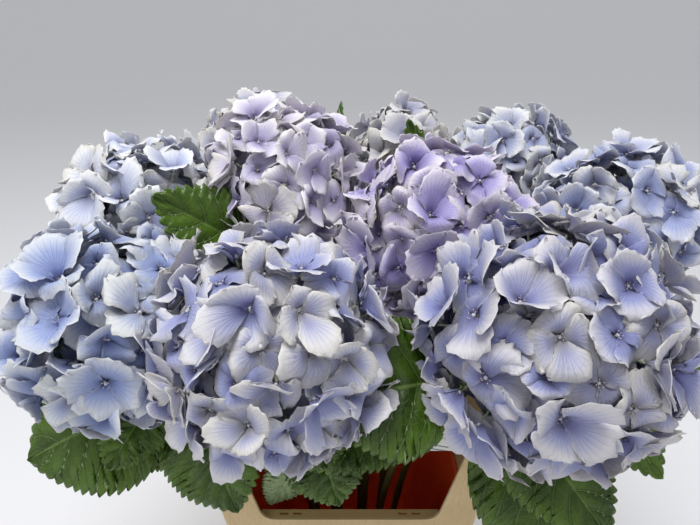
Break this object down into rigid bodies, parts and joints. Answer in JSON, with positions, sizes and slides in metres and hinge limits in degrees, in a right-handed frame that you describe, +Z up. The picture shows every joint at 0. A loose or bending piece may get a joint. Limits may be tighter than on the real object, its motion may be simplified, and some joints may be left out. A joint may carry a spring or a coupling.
{
  "type": "hydrangeas in a vase",
  "caption": "Cut mophead hydrangeas with leaves standing in a square tapered flower box with a hand window and an inner bucket.",
  "frame": {"origin": "middle of the bucket's flat underside, where the object stands on the ground", "axes": "+Z up, -Y the front wall with the label, +X to the right seen from the front"},
  "size_m": [0.7011, 0.5428, 0.6674],
  "materials": {
    "carton_board": "matte",
    "bucket_plastic": "satin",
    "label_paper": "matte",
    "stem_green": "satin",
    "leaf_green": "satin",
    "petals_front_right": "matte",
    "petals_front_left": "matte",
    "petals_far_left": "matte",
    "petals_upper_left": "matte",
    "petals_centre": "matte",
    "petals_centre_right": "matte",
    "petals_right": "matte",
    "petals_back_right": "matte",
    "petals_back_centre": "matte",
    "petals_back_left": "matte"
  },
  "bodies": {
    "root": {"carton_sleeve": "carton_board", "bucket": "bucket_plastic", "label": "label_paper", "stem_front_right": "stem_green", "stem_front_left": "stem_green", "stem_far_left": "stem_green", "stem_upper_left": "stem_green", "stem_centre": "stem_green", "stem_centre_right": "stem_green", "stem_right": "stem_green", "stem_back_right": "stem_green", "stem_back_centre": "stem_green", "stem_back_left": "stem_green", "head_front_right": "petals_front_right", "head_front_left": "petals_front_left", "head_far_left": "petals_far_left", "head_upper_left": "petals_upper_left", "head_centre": "petals_centre", "head_centre_right": "petals_centre_right", "head_right": "petals_right", "head_back_right": "petals_back_right", "head_back_centre": "petals_back_centre", "head_back_left": "petals_back_left", "leaf_low_left": "leaf_green", "leaf_left_hanging": "leaf_green", "leaf_low_left_under": "leaf_green", "leaf_left_edge": "leaf_green", "leaf_front_hanging": "leaf_green", "leaf_window_left": "leaf_green", "leaf_window_middle": "leaf_green", "leaf_front_middle": "leaf_green", "leaf_big_middle": "leaf_green", "leaf_over_rim": "leaf_green", "leaf_rim_small": "leaf_green", "leaf_low_right": "leaf_green", "leaf_low_right_upper": "leaf_green", "leaf_low_right_side": "leaf_green", "leaf_right_edge": "leaf_green", "leaf_right_back": "leaf_green", "leaf_upright_left": "leaf_green", "leaf_upright_back": "leaf_green", "leaf_upright_right": "leaf_green", "leaf_back_low_left": "leaf_green", "leaf_back_low_middle": "leaf_green", "leaf_back_low_right": "leaf_green", "leaf_side_left": "leaf_green"}
  },
  "joints": []
}
